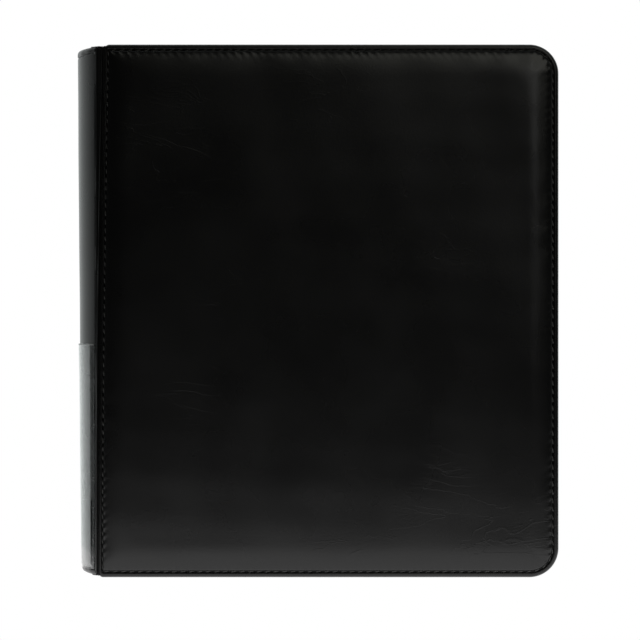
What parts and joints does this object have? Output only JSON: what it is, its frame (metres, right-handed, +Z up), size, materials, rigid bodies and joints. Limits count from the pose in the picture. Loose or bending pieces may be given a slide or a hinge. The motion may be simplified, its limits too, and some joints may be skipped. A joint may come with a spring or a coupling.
{
  "type": "ring binder",
  "caption": "Padded leatherette ring binder with stitched covers, a rounded spine with a clear label pocket, and a lever-operated ring mechanism inside.",
  "frame": {"origin": "middle of the footprint, on the surface that the closed binder stands on", "axes": "+Z up along the spine, front cover facing -Y, spine at -X, fore edge at +X"},
  "size_m": [0.2644, 0.0636, 0.292],
  "materials": {
    "skin": "semi-gloss fine-grained black leatherette",
    "board": "raw grey chipboard",
    "foam": "open-cell foam",
    "lining": "smooth matt black leatherette",
    "pocket": "smooth matt black leatherette",
    "thread": "black polyester thread",
    "film": "clear flexible vinyl film",
    "card": "blank dark card",
    "plated_steel": "nickel-plated",
    "bare_steel": "bright rolled steel"
  },
  "bodies": {
    "rear_cover": {"rear_board": "board", "rear_foam_pad": "foam", "rear_skin": "skin", "rear_lining": "lining", "rear_pocket": "pocket", "rear_stitching": "thread", "ring_housing": "plated_steel", "housing_rivets": "plated_steel", "rivet_washers": "bare_steel", "top_lever_pin": "bare_steel", "bottom_lever_pin": "bare_steel"},
    "spine": {"spine_board": "board", "spine_foam_pad": "foam", "spine_skin": "skin", "spine_lining": "lining", "spine_label_pocket": "film", "spine_label_card": "card"},
    "front_cover": {"front_board": "board", "front_foam_pad": "foam", "front_skin": "skin", "front_lining": "lining", "front_pocket": "pocket", "front_stitching": "thread"},
    "left_rail": {"left_ring_rail": "bare_steel", "left_ring_bottom": "plated_steel", "left_ring_middle": "plated_steel", "left_ring_top": "plated_steel"},
    "right_rail": {"right_ring_rail": "bare_steel", "right_ring_bottom": "plated_steel", "right_ring_middle": "plated_steel", "right_ring_top": "plated_steel"},
    "top_opening_lever": {"top_lever": "plated_steel"},
    "bottom_opening_lever": {"bottom_lever": "plated_steel"}
  },
  "joints": [
    {"name": "rear_hinge", "type": "hinge", "parent": "rear_cover", "child": "spine", "pos_m": [-0.12077, 0.0272, 0], "axis": [0, 0, -1], "range_deg": [0, 90]},
    {"name": "front_hinge", "type": "hinge", "parent": "spine", "child": "front_cover", "pos_m": [-0.12077, -0.0272, 0], "axis": [0, 0, -1], "range_deg": [0, 180]},
    {"name": "left_rail_hinge", "type": "hinge", "parent": "rear_cover", "child": "left_rail", "pos_m": [-0.09187, 0.0192, 0], "axis": [0, 0, -1], "range_deg": [0, 16]},
    {"name": "right_rail_hinge", "type": "hinge", "parent": "rear_cover", "child": "right_rail", "pos_m": [-0.07767, 0.0192, 0], "axis": [0, 0, 1], "range_deg": [0, 16]},
    {"name": "top_lever_hinge", "type": "hinge", "parent": "rear_cover", "child": "top_opening_lever", "pos_m": [-0.08478, 0.0188, 0.272], "axis": [-1, 0, 0], "range_deg": [0, 32]},
    {"name": "bottom_lever_hinge", "type": "hinge", "parent": "rear_cover", "child": "bottom_opening_lever", "pos_m": [-0.08478, 0.0188, 0.02], "axis": [1, 0, 0], "range_deg": [0, 32]}
  ],
  "couplings": [
    {"joint": "right_rail_hinge", "follows": "left_rail_hinge", "ratio": 1},
    {"joint": "top_lever_hinge", "follows": "left_rail_hinge", "ratio": 2},
    {"joint": "bottom_lever_hinge", "follows": "left_rail_hinge", "ratio": 2}
  ]
}
